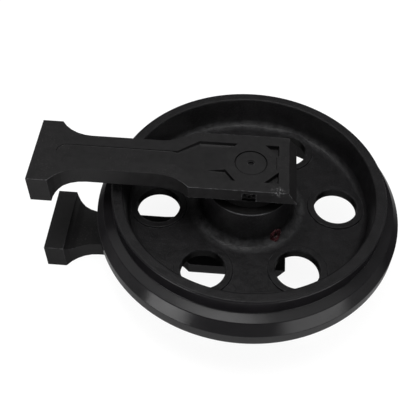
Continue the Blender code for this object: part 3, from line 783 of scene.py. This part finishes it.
rubber, tree, out = new_material("oily_black_rubber")
skin = grouped(tree, cast_skin, Grain_Size=0.7, Swell_Size=7.0, Pits=0.2)
colour = blended(tree, skin["Mottle"], (0.010, 0.010, 0.010), (0.022, 0.021, 0.020))
rough = ramped(tree, skin["Mottle"], low=0.45, high=0.75)
bare_surface(tree, out, colour, rough, bumpy(tree, skin["Height"], relief=0.03))
dressed(rubber, "toric_ring_wheel_upper", "toric_ring_wheel_lower", "toric_ring_bracket_upper",
        "toric_ring_bracket_lower")


# Shaft O-rings
# A moulded rubber ring in a groove near each end of the shaft keeps the oil in the bracket's bore.
dressed(rubber, "shaft_o_ring_upper", "shaft_o_ring_lower")


# Brackets
# Two drop-forged steel T arms, the same on both sides. Their outer face is hollowed along the arm and
# round a boss with a tapering rib, and they are shot-blasted and sprayed black with the rest.
face_height = 98.0
recess_floor = 91.4
recess_half = 34.2
recess_back = -72.0
flare_back = -101.0
flare_depth = 4.2
trough_half = 12.5
trough_end = -252.5
trough_depth, trough_end_depth = 1.9, 1.5
rib_half = 14.8
rib_root = -34.0
rib_tip = -62.0
boss_side = -19.7
bore_room = 31.0
pocket_near = 18.5
pocket_end = 37.6
pocket_low = 14.2
pocket_floor = 90.4
groove_middle = 34.2
groove_half, groove_slope = 0.6, 0.3
groove_near, groove_far = -10.0, 12.0
ramp_half = 22.0
ramp_end = -22.8
bracket_sharp = 36
flat_angle = 0.05
model_gap = 0.005

# How round the foot of each kind of wall is, as a share of its depth, and the form of the round
far_round, near_round, trough_round, rib_round = 1.05, 0.5, 1.0, 0.4
pocket_round, pocket_side_round = 0.12, 0.4
steep_share = 0.72
round_steps = (0, 22.5, 45, 67.5, 90)
end_step = 15

# How far the cutters and the filling reach into each other and past the face
seam = 0.05
overlap = 1.0
landing = 2.0
deep_overlap = 3.0
step_overlap = 9.0
cover_reach = 1.5
bore_above, bore_below = 5.0, 9.0
reach_above = 2.0


def solid_round(points):
    """A convex solid round some points."""
    work = bmesh.new()
    for point in points:
        work.verts.new(point)
    made = bmesh.ops.convex_hull(work, input=work.verts[:])
    spare = {v for v in made["geom_interior"] + made["geom_unused"] if isinstance(v, bmesh.types.BMVert)}
    bmesh.ops.delete(work, geom=list(spare), context="VERTS")
    bmesh.ops.dissolve_limit(work, angle_limit=math.radians(flat_angle), verts=work.verts,
                             edges=work.edges)
    bmesh.ops.recalc_face_normals(work, faces=work.faces)
    return mesh_of("solid", work)


def inset(outline, amounts):
    """A convex outline, counterclockwise, with each side moved inwards by its own amount."""
    lines = []
    for i, corner in enumerate(outline):
        here, there = Vector(corner), Vector(outline[(i + 1) % len(outline)])
        inward = Vector((here.y - there.y, there.x - here.x)).normalized()
        lines.append((here + inward * amounts[i], there - here))
    moved = []
    for i, (q, v) in enumerate(lines):
        p, u = lines[i - 1]
        moved.append(p + u * ((q - p).cross(v) / u.cross(v)))
    return moved


def wall_levels(depth):
    """How far down each ring of a sunk wall lies, and its share of the run. The top of the wall is steep."""
    yield -reach_above, 0.0
    yield 0.0, 0.0
    for step in round_steps:
        t = math.radians(step)
        yield depth * (steep_share + (1 - steep_share) * math.sin(t)), 1 - math.cos(t)


def hollow(outline, rounds, floor=recess_floor):
    """A cutter for a sunk place. Each side's foot is rounded by its share of the depth, 0 if it is open."""
    depth = face_height - floor
    points = []
    for drop, run in wall_levels(depth):
        ring = inset(outline, [share * depth * run for share in rounds])
        points += [(x, y, face_height - drop) for x, y in ring]
    return solid_round(points)


def sunk_way(stations, far_share, near_share, round_end=False):
    """A cutter along the arm between stations (x, half width, depth), with its first end round or plain."""
    points = []
    for i, (x, half, depth) in enumerate(stations):
        for drop, run in wall_levels(depth):
            far = half - far_share * depth * run
            near = half - near_share * depth * run
            points += [(x, far, face_height - drop), (x, -near, face_height - drop)]
            if round_end and i == 0:
                for turn in range(90 + end_step, 270, end_step):
                    a = math.radians(turn)
                    side = far if a < math.pi else near
                    points.append((x + side * math.cos(a), side * math.sin(a), face_height - drop))
    return solid_round(points)


def mirrored(outline, rounds):
    """An outline on the other side of the long middle line, counterclockwise, with its sides' rounds."""
    turned_back = [(x, -y) for x, y in reversed(outline)]
    sides = rounds[::-1]
    return turned_back, sides[1:] + sides[:1]


# The forging starts as the model's solid in mm, with its facets joined
work = bmesh.new()
work.from_mesh(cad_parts["bracket_upper"].data)
work.transform(Matrix.Scale(1 / MM, 4) @ Matrix.Translation(-wheel_axis))
bmesh.ops.remove_doubles(work, verts=work.verts, dist=model_gap)
for vert in work.verts:
    vert.co = [round(c, 3) for c in vert.co]
bracket = added("bracket_upper_forged", mesh_of("bracket_upper_forged", work))
if "custom_normal" in bracket.data.attributes:
    bracket.data.attributes.remove(bracket.data.attributes["custom_normal"])

# The model's plain hollow is filled and cut again with its rounded feet, its rib and its pockets
cover = [(trough_end - trough_half - overlap, -trough_half - overlap), (flare_back, -trough_half - overlap),
         (recess_back, -recess_half - overlap), (pocket_end + cover_reach, -recess_half - overlap)]
cover += [(x, -y) for x, y in reversed(cover)]
work = bmesh.new()
low = [work.verts.new((x, y, recess_floor - deep_overlap)) for x, y in cover]
high = [work.verts.new((x, y, face_height)) for x, y in cover]
work.faces.new(low[::-1])
work.faces.new(high)
for i in range(len(cover)):
    j = (i + 1) % len(cover)
    work.faces.new((low[i], low[j], high[j], high[i]))
bmesh.ops.recalc_face_normals(work, faces=work.faces)
filling = added("filling", mesh_of("filling", work))
bore_foot, bore_top = recess_floor - bore_below, face_height + bore_above
bore = turned("bore_room", [(0, bore_foot, 0), (bore_room, bore_foot, 0), (bore_room, bore_top, 0),
                            (0, bore_top, 0)], hole_sides)
cut_or_join(filling, bore, "DIFFERENCE")
cut_or_join(bracket, filling.data, "UNION")
bpy.data.objects.remove(filling)

trough = sunk_way([(trough_end, trough_half, trough_end_depth), (flare_back, trough_half, trough_depth)],
                  trough_round, near_round, round_end=True)
flare_step = sunk_way([(flare_back - step_overlap, trough_half, trough_depth),
                       (flare_back, trough_half, flare_depth),
                       (flare_back + landing, trough_half, flare_depth)], far_round, near_round)
recess_depth = face_height - recess_floor
flare = sunk_way([(flare_back, trough_half, flare_depth), (recess_back, recess_half, recess_depth),
                  (recess_back + landing, recess_half, recess_depth)], far_round, near_round)
head = [(recess_back + overlap, recess_half), (recess_back + overlap, -recess_half),
        (rib_tip, -recess_half), (rib_tip, recess_half)]
head_rounds = [0, near_round, 0, far_round]
channel_start, channel_wall = rib_tip - deep_overlap, recess_half + seam
channel = [(channel_start, channel_wall), (channel_start, rib_half), (rib_root, rib_half),
           (boss_side, channel_wall)]
channel_rounds = [0, rib_round, rib_round]
pocket = [(pocket_near, recess_half), (pocket_end, pocket_low), (pocket_end, recess_half)]
pocket_rounds = [pocket_round, pocket_side_round, pocket_round]
ramp_start, ramp_top = rib_tip - reach_above, face_height + reach_above
rib_ramp = [(x, y, z) for y in (-ramp_half, ramp_half)
            for x, z in ((ramp_start, recess_floor), (rib_tip, recess_floor), (ramp_end, ramp_top),
                         (ramp_start, ramp_top))]
groove = [(groove_middle + side * (groove_half + groove_slope * up), y, face_height + up)
          for y in (groove_near, groove_far) for up in (-1, 1) for side in (-1, 1)]
for cutter in (trough, flare_step, flare,
               hollow(head, head_rounds),
               hollow(channel, channel_rounds + [far_round]),
               hollow(*mirrored(channel, channel_rounds + [near_round])),
               solid_round(rib_ramp),
               hollow(pocket, pocket_rounds, pocket_floor),
               hollow(*mirrored(pocket, pocket_rounds), pocket_floor),
               solid_round(groove)):
    cut_or_join(bracket, cutter, "DIFFERENCE")

lower_bracket = added("bracket_lower_forged", bracket.data.copy())
lower_bracket.data.transform(Matrix.Scale(-1, 4, (0, 0, 1)))
lower_bracket.data.flip_normals()

# Scuffs: pale specks where the edge of the upper head was knocked, as a mask
knocked_spot = wheel_axis + Vector((37.0, -48.5, 98.0)) * MM
knock_reach, knock_core = 10.5, 4.0
scuffs, given, wanted = make_group("scuffs", {"Amount": 0.8}, "Scuffed")
gap = node(scuffs, "ShaderNodeVectorMath", _0=object_place(scuffs), _1=knocked_spot,
           settings={"operation": "DISTANCE"}).outputs["Value"]
spot = ramped(scuffs, gap, knock_reach * MM, knock_core * MM)
crumbs = noise(scuffs, scale=420.0, detail=3.0, roughness=0.7)
crumbs = ramped(scuffs, crumbs, start=0.52, end=0.62)
scuffs.links.new(product(scuffs, spot, crumbs, given["Amount"]), wanted["Scuffed"])

# Oil and shade: a dark film on the collar under the head that goes over the hub, partly oil and partly
# painted shade from the head above, as a mask
full_dark_radius, undarkened_radius = 49.5, 51.0
full_dark_height, undarkened_height = 75.0, 76.5
oil_and_painted_shade, given, wanted = make_group("oil_and_painted_shade", {"Amount": 0.8}, "Oil And Shade")
point = from_axis(oil_and_painted_shade)
near = ramped(oil_and_painted_shade, axis_radius(oil_and_painted_shade, point), undarkened_radius * MM, full_dark_radius * MM)
height = worked_out(oil_and_painted_shade, "ABSOLUTE", point["Z"])
under = ramped(oil_and_painted_shade, height, undarkened_height * MM, full_dark_height * MM)
oil_and_painted_shade.links.new(product(oil_and_painted_shade, near, under, given["Amount"]), wanted["Oil And Shade"])

bracket_paint = black_paint("bracket_black_paint", tone=(0.0063, 0.0061, 0.0063), spread=1.35, grain=1.1,
                            swell=9.0, relief=0.10, roughness=0.46, wear=0.8, dustiness=0.5, wear_from=38,
                            oil_and_shade=oil_and_painted_shade, knocks=scuffs)
for item, solid in ((bracket, "bracket_upper"), (lower_bracket, "bracket_lower")):
    item.data.materials.clear()
    item.data.materials.append(bracket_paint)
    finished(item, bracket_sharp)
    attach(item, "brackets")
    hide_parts(solid)


# Shaft and its plug
# A ground steel shaft that stands still. Its ends lie in the brackets' bores and were sprayed with
# them, and a small plug closes the oil hole in the middle of the upper end.
painted_from, painted_full = 94.0, 95.5
plug_edge = 0.3
socket_radius = 4.3
socket_sides = 6
socket_depth = 6.0
socket_share = 0.7

shaft_steel, tree, out = new_material("ground_shaft_steel")
marks = grouped(tree, turning_marks, Pitch=0.25)
skin = grouped(tree, cast_skin, Grain_Size=1.0, Swell_Size=8.0)
metal_colour = blended(tree, marks["Streak"], (0.26, 0.26, 0.27), (0.34, 0.34, 0.35))
paint_colour = blended(tree, skin["Mottle"], (0.0070, 0.0068, 0.0070), (0.0095, 0.0093, 0.0095))
height = worked_out(tree, "ABSOLUTE", from_axis(tree)["Z"])
painted = ramped(tree, height, painted_from * MM, painted_full * MM)
colour = blended(tree, painted, metal_colour, paint_colour)
rough = ramped(tree, painted, low=0.22, high=0.46)
shader = bare_surface(tree, out, colour, rough, bumpy(tree, skin["Height"], relief=0.04))
shader.inputs["Specular IOR Level"].default_value = paint_gloss
tree.links.new(ramped(tree, painted, low=1.0, high=0.0), shader.inputs["Metallic"])
dressed(shaft_steel, "idler_shaft")

low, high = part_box("shaft_plug")
plug_foot, plug_top = (low[2] - wheel_axis.z) / MM, (high[2] - wheel_axis.z) / MM
plug_radius = (high[0] - low[0]) / 2 / MM
socket_floor = plug_top - min(socket_depth, (plug_top - plug_foot) * socket_share)
shaft_plug = added("shaft_plug_socket", turned("shaft_plug_socket", [
    (0, plug_foot, 0), (plug_radius, plug_foot, 0), (plug_radius, plug_top, plug_edge), (0, plug_top, 0)],
    hole_sides))
socket_top = plug_top + reach_above
socket = turned("socket", [(0, socket_floor, 0), (socket_radius, socket_floor, 0),
                           (socket_radius, socket_top, 0), (0, socket_top, 0)], socket_sides)
cut_or_join(shaft_plug, socket, "DIFFERENCE")
shaft_plug.data.materials.clear()
shaft_plug.data.materials.append(plug_paint)
finished(shaft_plug)
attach(shaft_plug, "brackets")
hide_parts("shaft_plug")


# Lock pins
# A straight pin through each bracket and the shaft keeps the shaft from turning. The outer end is
# under the paint in its square pocket.
# The pins take the darker black paint, as painted shade in their pockets
dressed(dark_shade_paint, "lock_pin_upper", "lock_pin_lower")
